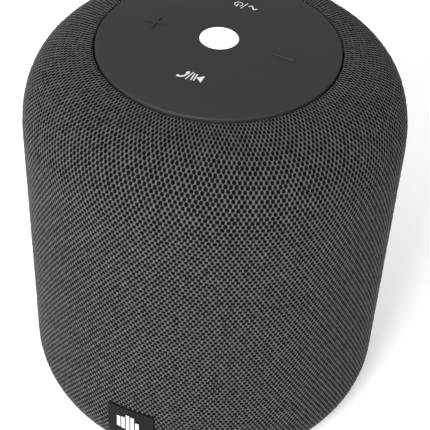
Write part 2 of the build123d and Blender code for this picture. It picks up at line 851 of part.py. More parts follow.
def ribbon_cable():
    """Flat cable from the main board's socket up and over to the control board."""
    start_y = tub_flat + standoff + board_thickness + 2.0
    start_z = main_board_level + main_board_height - 6
    run_z = diffuser_top + 1.2
    end_y = control_board_radius - 5
    half = ribbon_width / 2
    low = block((-half, half), (start_y, start_y + ribbon_thickness), (start_z, run_z))
    over = block((-half, half), (end_y, start_y + ribbon_thickness), (run_z, run_z + ribbon_thickness))
    up = block((-half, half), (end_y, end_y + ribbon_thickness), (run_z, control_board_bottom))
    return low + over + up


def fabric_tag():
    """Small soft tag that follows the fabric's curve."""
    skin = body_layer(-tag_thickness) - body_layer(0)
    outline = RectangleRounded(tag_width, tag_height, tag_corner)
    level = tag_top - tag_height / 2
    return skin & (Pos(tag_offset, 0, level) * extrude(Plane.XZ * outline, 2 * body_radius))


single_parts = {
    "fabric_sleeve": fabric_sleeve, "grille_frame": grille_frame, "fabric_tag": fabric_tag,
    "base_cover": base_cover, "foot_ring": foot_ring, "base_screws": base_screws,
    "enclosure_tub": enclosure_tub, "lid_gasket": lid_gasket, "enclosure_lid": enclosure_lid,
    "lid_screws": lid_screws, "radiator_frame": radiator_frame, "radiator_screws": radiator_screws,
    "radiator_surround": radiator_surround, "radiator_plate": radiator_plate,
    "battery_cells": battery_cells, "battery_holder": battery_holder,
    "driver_gasket": driver_gasket, "driver_basket": driver_basket, "driver_surround": driver_surround,
    "driver_cone": driver_cone, "dust_cap": dust_cap, "voice_coil": voice_coil, "spider": spider,
    "motor_top_plate": motor_top_plate, "motor_magnet": motor_magnet, "motor_yoke": motor_yoke,
    "driver_screws": driver_screws, "sound_diffuser": sound_diffuser, "diffuser_screws": diffuser_screws,
    "top_panel": top_panel, "key_switches": key_switches, "control_carrier": control_carrier,
    "carrier_screws": carrier_screws, "control_board": control_board, "board_screws": board_screws,
    "status_led": status_led, "light_guide": light_guide,
    "light_lens": light_lens, "main_board": main_board, "main_board_screws": main_board_screws,
    "main_board_parts": main_board_parts, "port_board": port_board, "port_board_screws": port_board_screws,
    "usb_c_socket": usb_c_socket, "aux_jack": aux_jack, "port_bezel": port_bezel,
    "ribbon_cable": ribbon_cable,
}

os.makedirs("parts", exist_ok=True)
for node, make in single_parts.items():
    export_step(make(), f"parts/{node}.step")
for name, angle in zip(key_names, quarter_angles):
    export_step(key(angle), f"parts/key_{name}.step")
    export_step(switch_plunger(angle), f"parts/plunger_{name}.step")
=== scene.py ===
import math

import bmesh
import bpy
import numpy as np
from bpy.props import FloatProperty, FloatVectorProperty, IntProperty, PointerProperty
from mathutils import Matrix, Vector


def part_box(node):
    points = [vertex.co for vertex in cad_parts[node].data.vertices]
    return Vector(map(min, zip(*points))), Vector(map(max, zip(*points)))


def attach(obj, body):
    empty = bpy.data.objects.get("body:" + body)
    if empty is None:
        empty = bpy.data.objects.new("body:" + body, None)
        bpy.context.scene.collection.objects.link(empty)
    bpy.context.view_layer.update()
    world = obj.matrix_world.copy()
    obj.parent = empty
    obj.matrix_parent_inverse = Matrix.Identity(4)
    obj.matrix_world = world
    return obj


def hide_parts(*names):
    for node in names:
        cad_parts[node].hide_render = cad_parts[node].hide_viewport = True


bl_info = {
    "name": "Knit Speaker Maker",
    "version": (1, 0, 0),
    "blender": (4, 5, 0),
    "location": "View3D > Sidebar > Speaker",
    "description": "Builds the looks of a knit-covered tabletop speaker round its packed parts",
    "category": "Add Mesh",
}

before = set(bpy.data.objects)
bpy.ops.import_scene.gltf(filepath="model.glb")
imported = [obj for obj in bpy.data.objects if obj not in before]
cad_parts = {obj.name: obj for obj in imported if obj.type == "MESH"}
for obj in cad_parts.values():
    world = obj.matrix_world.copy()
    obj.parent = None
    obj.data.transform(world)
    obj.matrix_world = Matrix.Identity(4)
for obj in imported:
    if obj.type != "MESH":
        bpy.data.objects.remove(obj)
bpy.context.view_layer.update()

MM = 0.001

# Shape of the body's side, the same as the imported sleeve's
TAPER = 0.8 * MM
SHOULDER_HEIGHT = 29.6 * MM
SHOULDER_RUN = 31.0 * MM
SHOULDER_FULLNESS = 0.685
BASE_INSET = 8.6 * MM
BASE_ROUNDING = 15.5 * MM
BASE_FULLNESS = 0.44
PANEL_CROWN = 2.3 * MM
LENS_SINK = 0.05 * MM
HEM_RADIUS = 0.7 * MM
HEM_DEPTH = 2.6 * MM
TAG_LIFT = 0.75 * MM
TAG_DISC = 4.3 * MM
TAG_BAR = 1.3 * MM
TAG_BAR_PITCH = 1.72 * MM
TAG_DISC_PLACE = (-0.8 * MM, 1.3 * MM)   # from the tag's middle, across and up
TAG_FILM = 0.04 * MM
LIGHT_AIM = (0, 0, 0.07)

BODY_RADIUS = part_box("fabric_sleeve")[1][0]
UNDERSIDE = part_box("fabric_sleeve")[0][2]
PANEL_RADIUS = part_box("top_panel")[1][0]
PANEL_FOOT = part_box("top_panel")[0][2]
PANEL_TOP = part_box("light_lens")[1][2] + LENS_SINK
PANEL_RIM = PANEL_TOP - PANEL_CROWN
COVER_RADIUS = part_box("base_cover")[1][0]
KEYS = ("plus", "minus", "call", "mode")


# ---------------------------------------------------------------- settings

class SleeveSettings(bpy.types.PropertyGroup):
    columns: IntProperty(name="Columns", description="Stitches round the body, a multiple of three",
                         default=225, min=30, max=600)
    course: FloatProperty(name="Course", description="Distance from one row of stitches to the next",
                          default=1.265 * MM, unit="LENGTH", precision=5)
    stretch: FloatProperty(name="Shoulder stretch", description="Extra distance between courses at the panel",
                           default=0.15, subtype="FACTOR", min=0, max=0.5)
    unevenness: FloatProperty(name="Unevenness", description="How far stitches stray, as a share of a stitch",
                              default=0.09, subtype="FACTOR", min=0, max=0.4)
    hole_share: FloatProperty(name="Hole size", description="Hole radius as a share of the stitch width",
                              default=0.32, subtype="FACTOR", min=0.05, max=0.45)
    lip_depth: FloatProperty(name="Lip depth", description="Depth of a hole's lip below the yarn crossings",
                             default=0.28 * MM, unit="LENGTH", precision=5)
    pit_depth: FloatProperty(name="Pit depth", description="Depth of a hole below the yarn crossings",
                             default=1.15 * MM, unit="LENGTH", precision=5)
    # Light yarn colour: random lighter stitches, and the painted highlight on the raised loops and plies
    yarn_light_and_highlight: FloatVectorProperty(name="Light yarn", description="Colour of the raised yarn",
                                    subtype="COLOR", size=3, default=(0.118, 0.118, 0.119), min=0, max=1)
    # Dark yarn colour: painted shade on the yarn between the loops, and random darker stitches
    yarn_dark_and_shade: FloatVectorProperty(name="Dark yarn", description="Colour of the yarn between the loops",
                                   subtype="COLOR", size=3, default=(0.012, 0.012, 0.0125), min=0, max=1)
    # Painted shade: near-black colour put into the holes and round their rims, where the pits lie in shadow
    painted_hole_shade: FloatVectorProperty(name="Holes", description="Colour deep in the holes", subtype="COLOR",
                                     size=3, default=(0.0012, 0.0012, 0.0012), min=0, max=1)


class PanelSettings(bpy.types.PropertyGroup):
    edge: FloatProperty(name="Rim rounding", description="Rounding of the panel's rim", default=0.7 * MM,
                        unit="LENGTH", precision=5)
    seam: FloatProperty(name="Key seam", description="Gap round a key at rest", default=0.006 * MM,
                        unit="LENGTH", precision=6)
    key_hole: FloatProperty(name="Key hole", description="Radius of the hole that a key fills",
                            default=8.6 * MM, unit="LENGTH", precision=5)
    lens_hole: FloatProperty(name="Light hole", description="Radius of the hole for the light",
                             default=6.2 * MM, unit="LENGTH", precision=5)
    colour: FloatVectorProperty(name="Pad colour", description="Colour of the soft-touch pad",
                                subtype="COLOR", size=3, default=(0.0235, 0.0235, 0.0238), min=0, max=1)


class LegendSettings(bpy.types.PropertyGroup):
    circle: FloatProperty(name="Legend circle", description="Distance of the signs from the centre",
                          default=21.5 * MM, unit="LENGTH", precision=5)
    stroke: FloatProperty(name="Print stroke", description="Width of a printed line", default=0.32 * MM,
                          unit="LENGTH", precision=5)
    film: FloatProperty(name="Print thickness", description="Thickness of the print", default=0.03 * MM,
                        unit="LENGTH", precision=6)
    sign_length: FloatProperty(name="Raised length", description="Length of the raised signs",
                               default=7.2 * MM, unit="LENGTH", precision=5)
    sign_width: FloatProperty(name="Raised width", description="Width of the raised signs", default=0.9 * MM,
                              unit="LENGTH", precision=5)
    sign_rise: FloatProperty(name="Raised height", description="How far the raised signs stand up",
                             default=0.4 * MM, unit="LENGTH", precision=5)


class StudioSettings(bpy.types.PropertyGroup):
    azimuth: FloatProperty(name="Azimuth", description="Camera's turn to the right of the front",
                           default=math.radians(21.5), subtype="ANGLE")
    pitch: FloatProperty(name="Pitch", description="Camera's look downwards", default=math.radians(41.435),
                         subtype="ANGLE")
    pan: FloatProperty(name="Pan", description="Camera's look to the right of the axis",
                       default=math.radians(0.277), subtype="ANGLE")
    roll: FloatProperty(name="Roll", description="Camera's roll", default=math.radians(3.077),
                        subtype="ANGLE")
    distance: FloatProperty(name="Distance", description="Camera's level distance from the axis",
                            default=336.7 * MM, unit="LENGTH")
    height: FloatProperty(name="Height", description="Camera's height above the floor", default=363.0 * MM,
                          unit="LENGTH")
    lens: FloatProperty(name="Lens", description="Focal length in millimetres", default=108.84)
    floor_colour: FloatVectorProperty(name="Floor", description="Colour of the floor", subtype="COLOR",
                                      size=3, default=(0.95, 0.95, 0.95), min=0, max=1)


# ---------------------------------------------------------------- mesh helpers

def deselect_all():
    bpy.ops.object.select_all(action="DESELECT")


def active_piece(name):
    """The primitive that was just added, under its own name."""
    piece = bpy.context.active_object
    piece.name = name
    piece.data.name = name
    return piece


def make_active(piece):
    deselect_all()
    piece.select_set(True)
    bpy.context.view_layer.objects.active = piece


def apply_modifiers(piece):
    make_active(piece)
    for modifier in list(piece.modifiers):
        bpy.ops.object.modifier_apply(modifier=modifier.name)


def settle(piece):
    """Puts the piece's place, turn and size into its mesh."""
    make_active(piece)
    bpy.ops.object.transform_apply(location=True, rotation=True, scale=True)


def pick_faces(piece, test):
    """In edit mode, selects only the faces that pass a test of centre and normal."""
    mesh = bmesh.from_edit_mesh(piece.data)
    bpy.ops.mesh.select_all(action="DESELECT")
    bpy.ops.mesh.select_mode(type="FACE")
    for face in mesh.faces:
        face.select_set(test(face.calc_center_median(), face.normal))
    bmesh.update_edit_mesh(piece.data)


def pick_edges(piece, test):
    """In edit mode, selects only the edges whose two ends pass a test."""
    mesh = bmesh.from_edit_mesh(piece.data)
    bpy.ops.mesh.select_all(action="DESELECT")
    bpy.ops.mesh.select_mode(type="EDGE")
    for edge in mesh.edges:
        edge.select_set(test(edge.verts[0].co, edge.verts[1].co))
    bmesh.update_edit_mesh(piece.data)


def join_pieces(pieces, name):
    deselect_all()
    for piece in pieces:
        piece.select_set(True)
    bpy.context.view_layer.objects.active = pieces[0]
    bpy.ops.object.join()
    return active_piece(name)


def smooth(piece, angle=35):
    make_active(piece)
    bpy.ops.object.shade_smooth_by_angle(angle=math.radians(angle))


def cut(piece, cutter, operation="DIFFERENCE"):
    """Boolean with a cutter that is thrown away afterwards."""
    modifier = piece.modifiers.new("cut", "BOOLEAN")
    modifier.operation = operation
    modifier.object = cutter
    modifier.solver = "EXACT"
    make_active(piece)
    bpy.ops.object.modifier_apply(modifier=modifier.name)
    bpy.data.objects.remove(cutter, do_unlink=True)


def dome_rise(x, y):
    """Height of the panel's dome above its rim at a place on it."""
    ball = PANEL_RADIUS ** 2 / (2 * PANEL_CROWN) + PANEL_CROWN / 2
    return math.sqrt(ball ** 2 - x ** 2 - y ** 2) - ball + PANEL_CROWN


def lay_on_dome(piece):
    """Lifts a piece that was modelled on the level rim plane onto the dome."""
    for vertex in piece.data.vertices:
        vertex.co.z += dome_rise(vertex.co.x, vertex.co.y)


def key_place(name):
    low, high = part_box("key_" + name)
    return (low[0] + high[0]) / 2, (low[1] + high[1]) / 2


def paint(piece, material):
    piece.data.materials.clear()
    piece.data.materials.append(material)


# ---------------------------------------------------------------- shader groups

def new_group(name, inputs, outputs):
    """An empty shader node group with named sockets, and its two end nodes."""
    group = bpy.data.node_groups.new(name, "ShaderNodeTree")
    for label, kind, value in inputs:
        socket = group.interface.new_socket(name=label, in_out="INPUT", socket_type=kind)
        if value is not None:
            socket.default_value = value
    for label, kind in outputs:
        group.interface.new_socket(name=label, in_out="OUTPUT", socket_type=kind)
    return group, group.nodes.new("NodeGroupInput"), group.nodes.new("NodeGroupOutput")


def math_node(tree, operation, first, second=None, third=None):
    """A Math node whose inputs are sockets or numbers; returns its output."""
    node = tree.nodes.new("ShaderNodeMath")
    node.operation = operation
    for slot, value in enumerate((first, second, third)):
        if value is None:
            continue
        if isinstance(value, (int, float)):
            node.inputs[slot].default_value = value
        else:
            tree.links.new(value, node.inputs[slot])
    return node.outputs[0]


def ramp_between(tree, value, low, high):
    """Smooth step from 0 at low to 1 at high."""
    node = tree.nodes.new("ShaderNodeMapRange")
    node.interpolation_type = "SMOOTHSTEP"
    tree.links.new(value, node.inputs["Value"])
    for label, bound in (("From Min", low), ("From Max", high)):
        if isinstance(bound, (int, float)):
            node.inputs[label].default_value = bound
        else:
            tree.links.new(bound, node.inputs[label])
    return node.outputs["Result"]


def noise_node(tree, vector, scale, detail=2.0, roughness=0.5):
    node = tree.nodes.new("ShaderNodeTexNoise")
    node.inputs["Detail"].default_value = detail
    node.inputs["Roughness"].default_value = roughness
    tree.links.new(vector, node.inputs["Vector"])
    if isinstance(scale, (int, float)):
        node.inputs["Scale"].default_value = scale
    else:
        tree.links.new(scale, node.inputs["Scale"])
    return node.outputs["Fac"]


def stitch_group():
    """Staggered net of holes in stitch units: masks of holes and of loops for painted highlight, twist of the
    yarn for bumps and painted highlight, uneven tone.
    """
    group, start, end = new_group(
        "Knit stitches",
        [("Vector", "NodeSocketVector", None), ("Hole Size", "NodeSocketFloat", 0.27),
         ("Course Share", "NodeSocketFloat", 0.73)],
        [("Hole", "NodeSocketFloat"), ("Loop Highlight", "NodeSocketFloat"), ("Strand", "NodeSocketFloat"),
         ("Tone", "NodeSocketFloat")])
    split = group.nodes.new("ShaderNodeSeparateXYZ")
    group.links.new(start.outputs["Vector"], split.inputs[0])
    across, along = split.outputs["X"], split.outputs["Y"]

    def lattice_distance(places, squeeze):
        """Distance to the nearest of two staggered sets of places, in stitch widths."""
        distances = []
        for shift_across, shift_along in places:
            x = math_node(group, "SUBTRACT", across, shift_across)
            x = math_node(group, "SUBTRACT", x, math_node(group, "ROUND", x))
            y = math_node(group, "MULTIPLY", math_node(group, "SUBTRACT", along, shift_along), 0.5)
            y = math_node(group, "SUBTRACT", y, math_node(group, "ROUND", y))
            y = math_node(group, "MULTIPLY", math_node(group, "MULTIPLY", y, 2.0 * squeeze),
                          start.outputs["Course Share"])
            square = math_node(group, "ADD", math_node(group, "MULTIPLY", x, x),
                               math_node(group, "MULTIPLY", y, y))
            distances.append(math_node(group, "SQRT", square))
        return math_node(group, "MINIMUM", *distances)

    nearest = lattice_distance(((0.0, 0.0), (0.5, 1.0)), 1.0)
    # Loop mask, highest on the raised loops: it paints a highlight where light catches them
    loop = lattice_distance(((0.5, 0.0), (0.0, 1.0)), 0.55)
    loop = math_node(group, "SUBTRACT", 1.0, ramp_between(group, loop, 0.05, 0.33))
    group.links.new(loop, end.inputs["Loop Highlight"])
    # The hole mask, used for the painted shade of the holes, fades out a little beyond the pit's rim
    inner = math_node(group, "MULTIPLY", start.outputs["Hole Size"], 0.86)
    outer = math_node(group, "MULTIPLY", start.outputs["Hole Size"], 1.36)
    hole = math_node(group, "SUBTRACT", 1.0, ramp_between(group, nearest, inner, outer))
    group.links.new(hole, end.inputs["Hole"])
    slant = math_node(group, "ADD", across, math_node(group, "MULTIPLY", along, 0.5))
    ply = math_node(group, "MULTIPLY", slant, 2 * math.pi * 4)
    ply = math_node(group, "MULTIPLY_ADD", math_node(group, "SINE", ply), 0.5, 0.5)
    group.links.new(ply, end.inputs["Strand"])
    speck = group.nodes.new("ShaderNodeTexNoise")
    speck.inputs["Scale"].default_value = 0.9
    speck.inputs["Detail"].default_value = 3.0
    group.links.new(start.outputs["Vector"], speck.inputs["Vector"])
    group.links.new(speck.outputs["Fac"], end.inputs["Tone"])
    return group


def grain_group():
    """Fine moulded or rubbery grain with a slow unevenness, on object coordinates."""
    group, start, end = new_group(
        "Surface grain",
        [("Grain Scale", "NodeSocketFloat", 6000.0), ("Patch Scale", "NodeSocketFloat", 60.0)],
        [("Grain", "NodeSocketFloat"), ("Patches", "NodeSocketFloat")])
    place = group.nodes.new("ShaderNodeTexCoord")
    grain = noise_node(group, place.outputs["Object"], start.outputs["Grain Scale"], 3.0, 0.6)
    patches = noise_node(group, place.outputs["Object"], start.outputs["Patch Scale"], 4.0, 0.55)
    group.links.new(grain, end.inputs["Grain"])
    group.links.new(patches, end.inputs["Patches"])
    return group


def brushed_group():
    """Long fine scratches along one direction, for drawn and rolled metal."""
    group, start, end = new_group(
        "Brushed lines", [("Stretch", "NodeSocketVector", (4000.0, 4000.0, 200.0))],
        [("Lines", "NodeSocketFloat")])
    place = group.nodes.new("ShaderNodeTexCoord")
    stretch = group.nodes.new("ShaderNodeVectorMath")
    stretch.operation = "MULTIPLY"
    group.links.new(place.outputs["Object"], stretch.inputs[0])
    group.links.new(start.outputs["Stretch"], stretch.inputs[1])
    group.links.new(noise_node(group, stretch.outputs[0], 1.0, 3.0), end.inputs["Lines"])
    return group


GROUPS = {"stitches": stitch_group(), "grain": grain_group(), "brushed": brushed_group()}


# ---------------------------------------------------------------- materials

def start_material(name, **numbers):
    """A material with its Principled shader and plain numbers set on the shader."""
    material = bpy.data.materials.new(name)
    material.use_nodes = True
    shader = material.node_tree.nodes["Principled BSDF"]
    for label, value in numbers.items():
        shader.inputs[label.replace("_", " ")].default_value = value
    return material, material.node_tree, shader


def place_group(tree, name):
    node = tree.nodes.new("ShaderNodeGroup")
    node.node_tree = GROUPS[name]
    return node


def mix_colour(tree, factor, first, second):
    """Mixes two colours, each a socket or three numbers, by a socket factor."""
    node = tree.nodes.new("ShaderNodeMix")
    node.data_type = "RGBA"
    tree.links.new(factor, node.inputs["Factor"])
    for socket, value in ((node.inputs[6], first), (node.inputs[7], second)):
        if isinstance(value, bpy.types.NodeSocket):
            tree.links.new(value, socket)
        else:
            socket.default_value = (*value, 1.0)
    return node.outputs[2]


def add_bump(tree, shader, height, strength, distance):
    bump = tree.nodes.new("ShaderNodeBump")
    bump.inputs["Strength"].default_value = strength
    bump.inputs["Distance"].default_value = distance
    tree.links.new(height, bump.inputs["Height"])
    tree.links.new(bump.outputs["Normal"], shader.inputs["Normal"])


def grained(name, dark, light, rough=(0.45, 0.6), grain_scale=6000.0, patch_scale=60.0, bump=0.25,
            depth=0.05 * MM, **numbers):
    """Moulded plastic, rubber or coated metal with fine grain and a slow change of tone."""
    material, tree, shader = start_material(name, **numbers)
    grain = place_group(tree, "grain")
    grain.inputs["Grain Scale"].default_value = grain_scale
    grain.inputs["Patch Scale"].default_value = patch_scale
    colour = mix_colour(tree, grain.outputs["Patches"], dark, light)
    tree.links.new(colour, shader.inputs["Base Color"])
    spread = tree.nodes.new("ShaderNodeMapRange")
    spread.inputs["From Min"].default_value = 0.3
    spread.inputs["From Max"].default_value = 0.7
    spread.inputs["To Min"].default_value, spread.inputs["To Max"].default_value = rough
    tree.links.new(grain.outputs["Patches"], spread.inputs["Value"])
    tree.links.new(spread.outputs["Result"], shader.inputs["Roughness"])
    add_bump(tree, shader, grain.outputs["Grain"], bump, depth)
    return material


def metal(name, dark, light, rough=(0.25, 0.4), stretch=(4000.0, 4000.0, 200.0)):
    """Drawn or plated metal with fine lines."""
    material, tree, shader = start_material(name, Metallic=1.0)
    lines = place_group(tree, "brushed")
    lines.inputs["Stretch"].default_value = stretch
    tree.links.new(mix_colour(tree, lines.outputs["Lines"], dark, light), shader.inputs["Base Color"])
    spread = tree.nodes.new("ShaderNodeMapRange")
    spread.inputs["To Min"].default_value, spread.inputs["To Max"].default_value = rough
    tree.links.new(lines.outputs["Lines"], spread.inputs["Value"])
    tree.links.new(spread.outputs["Result"], shader.inputs["Roughness"])
    add_bump(tree, shader, lines.outputs["Lines"], 0.15, 0.02 * MM)
    return material


def knit_material():
    """Knitted yarn with painted shade in the holes, painted highlight on the raised loops and along the
    twisted plies, painted shade between the loops, random tone and a soft fuzz.
    """
    sleeve = bpy.context.scene.speaker_sleeve
    pitch = 2 * math.pi * BODY_RADIUS / sleeve.columns
    material, tree, shader = start_material(
        "knit_yarn", Roughness=0.9, Sheen_Weight=0.04, Sheen_Roughness=0.5, Specular_IOR_Level=0.12)
    cloth = tree.nodes.new("ShaderNodeUVMap")
    cloth.uv_map = "stitches"
    knit = place_group(tree, "stitches")
    knit.inputs["Hole Size"].default_value = sleeve.hole_share
    knit.inputs["Course Share"].default_value = sleeve.course / pitch
    tree.links.new(cloth.outputs["UV"], knit.inputs["Vector"])
    fuzz = noise_node(tree, cloth.outputs["UV"], 7.0, 3.0, 0.65)
    tone = math_node(tree, "MULTIPLY_ADD", knit.outputs["Tone"], 0.9, -0.15)
    tone = math_node(tree, "MULTIPLY_ADD", fuzz, 0.5, tone)
    # Painted highlight: the plies' twist and the raised loops lighten the yarn colour; the rest of the tone
    # is random
    tone = math_node(tree, "MULTIPLY_ADD", knit.outputs["Strand"], 0.18, tone)
    tone = math_node(tree, "MULTIPLY_ADD", knit.outputs["Loop Highlight"], 0.45, tone)
    tone = ramp_between(tree, tone, 0.2, 1.35)
    yarn = mix_colour(tree, tone, tuple(sleeve.yarn_dark_and_shade), tuple(sleeve.yarn_light_and_highlight))
    # Paints near-black shade into the holes and onto their lips, over the yarn colour
    colour = mix_colour(tree, knit.outputs["Hole"], yarn, tuple(sleeve.painted_hole_shade))
    tree.links.new(colour, shader.inputs["Base Color"])
    height = math_node(tree, "MULTIPLY_ADD", fuzz, 0.6, knit.outputs["Strand"])
    add_bump(tree, shader, height, 0.5, 0.08 * MM)
    return material


def light_material():
    """White light window that glows a little less towards its edge."""
    material, tree, shader = start_material("white_light", Roughness=0.3, Emission_Strength=0.9)
    place = tree.nodes.new("ShaderNodeTexCoord")
    split = tree.nodes.new("ShaderNodeSeparateXYZ")
    tree.links.new(place.outputs["Object"], split.inputs[0])
    squares = [math_node(tree, "POWER", math_node(tree, "ABSOLUTE", split.outputs[axis]), 2.0)
               for axis in "XY"]
    square = math_node(tree, "ADD", *squares)
    edge = ramp_between(tree, math_node(tree, "SQRT", square), 5.4 * MM, 6.1 * MM)
    glow = mix_colour(tree, edge, (1.0, 1.0, 1.0), (0.72, 0.72, 0.73))
    tree.links.new(glow, shader.inputs["Emission Color"])
    tree.links.new(glow, shader.inputs["Base Color"])
    return material


def board_material():
    """Solder mask over copper tracks that show as a fine pattern."""
    material, tree, shader = start_material("circuit_board", Roughness=0.35)
    place = tree.nodes.new("ShaderNodeTexCoord")
    tracks = tree.nodes.new("ShaderNodeTexBrick")
    tracks.inputs["Scale"].default_value = 350.0
    tracks.inputs["Mortar Size"].default_value = 0.03
    tracks.inputs["Color1"].default_value = (0.012, 0.075, 0.03, 1)
    tracks.inputs["Color2"].default_value = (0.016, 0.09, 0.038, 1)
    tracks.inputs["Mortar"].default_value = (0.035, 0.16, 0.06, 1)
    tree.links.new(place.outputs["Object"], tracks.inputs["Vector"])
    tree.links.new(tracks.outputs["Color"], shader.inputs["Base Color"])
    add_bump(tree, shader, tracks.outputs["Fac"], 0.3, 0.03 * MM)
    return material


def make_materials():
    pad = tuple(bpy.context.scene.speaker_panel.colour)
    darker = tuple(0.88 * value for value in pad)
    lighter = tuple(1.12 * value for value in pad)
    black = (0.012, 0.012, 0.013)
    soft_black = (0.022, 0.022, 0.024)
    made = {
        "knit_fabric": knit_material(),
        "soft_touch": grained("soft_touch_pad", darker, lighter, (0.5, 0.62), 5000.0, 45.0, 0.2, 0.03 * MM,
                              Specular_IOR_Level=0.25),
        "black_abs": grained("moulded_black", black, soft_black, (0.45, 0.6), 4000.0, 80.0, 0.4),
        "tag_rubber": grained("tag_rubber", (0.008, 0.008, 0.008), (0.013, 0.013, 0.013), (0.6, 0.72), 3500.0,
                              90.0, Specular_IOR_Level=0.06),
        "foot_silicone": grained("grey_silicone", (0.025, 0.025, 0.026), (0.04, 0.04, 0.041), (0.6, 0.75)),
        "membrane_rubber": grained("butyl_rubber", (0.01, 0.01, 0.01), (0.02, 0.02, 0.02), (0.4, 0.55)),
        "cell_wrap": grained("cell_sleeve", (0.03, 0.12, 0.3), (0.05, 0.16, 0.38), (0.2, 0.3)),
        "cone_paper": grained("pressed_paper", (0.02, 0.02, 0.02), (0.045, 0.043, 0.04), (0.75, 0.9), 1500.0),
        "ferrite": grained("ferrite", (0.03, 0.03, 0.032), (0.06, 0.06, 0.062), (0.5, 0.7), 2500.0),
        "chip_plastic": grained("moulded_epoxy", (0.015, 0.015, 0.015), (0.035, 0.035, 0.035), (0.4, 0.5)),
        "ribbon_white": grained("ribbon_film", (0.6, 0.6, 0.58), (0.75, 0.75, 0.72), (0.3, 0.4)),
        "clear_guide": grained("clear_acrylic", (0.85, 0.87, 0.88), (0.95, 0.95, 0.96), (0.08, 0.14),
                               Transmission_Weight=0.9),
        "led_white": light_material(),
        "circuit_board": board_material(),
        "screw_steel": metal("plated_steel", (0.35, 0.35, 0.36), (0.55, 0.55, 0.56)),
        "socket_steel": metal("stamped_steel", (0.45, 0.45, 0.46), (0.7, 0.7, 0.7), (0.2, 0.35)),
        "basket_steel": metal("pressed_steel", (0.12, 0.12, 0.13), (0.22, 0.22, 0.23), (0.35, 0.5)),
        "radiator_metal": metal("satin_aluminium", (0.55, 0.55, 0.56), (0.72, 0.72, 0.73)),
        "coil_copper": metal("copper_wire", (0.45, 0.2, 0.09), (0.75, 0.38, 0.2), (0.25, 0.4),
                             (200.0, 200.0, 9000.0)),
        "white_print": grained("white_print", (0.62, 0.62, 0.62), (0.74, 0.74, 0.74), (0.5, 0.6), 3000.0,
                               400.0),
    }
    return made


MATERIALS = {}


# ---------------------------------------------------------------- body outline

def bezier_points(points, count):
    """Points on a cubic curve, without its first."""
    start, first, second, end = (np.array(point) for point in points)
    share = np.linspace(0, 1, count + 1)[1:, None]
    rest = 1 - share
    return (rest ** 3 * start + 3 * rest ** 2 * share * first + 3 * rest * share ** 2 * second
            + share ** 3 * end)


def sleeve_outline():
    """(radius, height) points from the fold under the body, up the side and down into the panel gap."""
    side = BODY_RADIUS - TAPER
    base = BODY_RADIUS - BASE_INSET
    crown = BODY_RADIUS - SHOULDER_RUN
    low_end = UNDERSIDE + BASE_ROUNDING
    high_end = PANEL_RIM - SHOULDER_HEIGHT
    opening = PANEL_RADIUS + 0.4 * MM
    under = np.array([[COVER_RADIUS + 0.5 * MM, UNDERSIDE], [base, UNDERSIDE]])
    foot = bezier_points([(base, UNDERSIDE), (base + (side - base) * BASE_FULLNESS, UNDERSIDE),
                          (side, low_end - BASE_ROUNDING * BASE_FULLNESS), (side, low_end)], 60)
    rise = SHOULDER_HEIGHT * SHOULDER_FULLNESS
    reach = SHOULDER_RUN * SHOULDER_FULLNESS
    shoulder = bezier_points([(BODY_RADIUS, high_end), (BODY_RADIUS, high_end + rise),
                              (crown + reach, PANEL_RIM), (crown, PANEL_RIM)], 240)
    shoulder = shoulder[shoulder[:, 0] > opening + HEM_RADIUS]
    edge = shoulder[-1]
    turn = np.radians(np.linspace(90, 180, 9)[1:])[:, None]
    centre = np.array([opening + HEM_RADIUS, edge[1] - HEM_RADIUS])
    hem = centre + HEM_RADIUS * np.hstack([np.cos(turn), np.sin(turn)])
    tuck = np.array([[opening, edge[1] - HEM_RADIUS - HEM_DEPTH]])
    return np.vstack([under, foot, [[BODY_RADIUS, high_end]], shoulder, hem, tuck])


OUTLINE = sleeve_outline()
OUTLINE_LENGTH = np.concatenate([[0], np.cumsum(np.linalg.norm(np.diff(OUTLINE, axis=0), axis=1))])


def on_outline(length):
    """Place and outward direction (radius, height) at a length along the outline."""
    def place(where):
        where = np.clip(where, 0, OUTLINE_LENGTH[-1])
        return [np.interp(where, OUTLINE_LENGTH, OUTLINE[:, axis]) for axis in (0, 1)]

    radius, height = place(length)
    step = 0.3 * MM
    ahead, behind = place(length + step), place(length - step)
    along_r, along_z = ahead[0] - behind[0], ahead[1] - behind[1]
    size = np.hypot(along_r, along_z)
    return radius, height, along_z / size, -along_r / size


def body_radius_at(height):
    """Radius of the fabric at a height on the lower body."""
    lower = OUTLINE[: len(OUTLINE) // 2]
    return float(np.interp(height, lower[1:, 1], lower[1:, 0]))


# ---------------------------------------------------------------- knit sleeve

RING = (  # corners of one stitch cell, across and along, round a hole in the middle
    (0.0, -2 / 3), (0.5, -1 / 3), (0.5, 1 / 3), (0.0, 2 / 3), (-0.5, 1 / 3), (-0.5, -1 / 3))
SECTORS = 3
START_ANGLE = math.radians(150)
HELIX_ROWS = 12          # rows that a course climbs in one turn, as circular knitting does
WAVE_ROWS = 0.6          # and how far it strays from an even climb
WAVE_TURN = math.radians(20)
COLUMN_LEAN = 0.038      # columns to the side for each row
PORT_LIP = 2.5 * MM
PORT_GAP = 0.3 * MM
KNIT = {}


def lay_out_courses():
    """Row numbers along the outline, farther apart on the shoulder, where the knit is stretched."""
    sleeve = bpy.context.scene.speaker_sleeve
    total = OUTLINE_LENGTH[-1]
    lengths = np.linspace(0, total, 600)
    share = np.clip((lengths - 0.66 * total) / (0.28 * total), 0, 1)
    pitch = sleeve.course * (1 + sleeve.stretch * share ** 2 * (3 - 2 * share))
    rows = np.concatenate([[0], np.cumsum(np.diff(lengths) * 2 / (pitch[1:] + pitch[:-1]))])
    KNIT["rows"] = 2 * round(rows[-1] / 2)
    KNIT["row_at"] = rows * KNIT["rows"] / rows[-1]
    KNIT["lengths"] = lengths


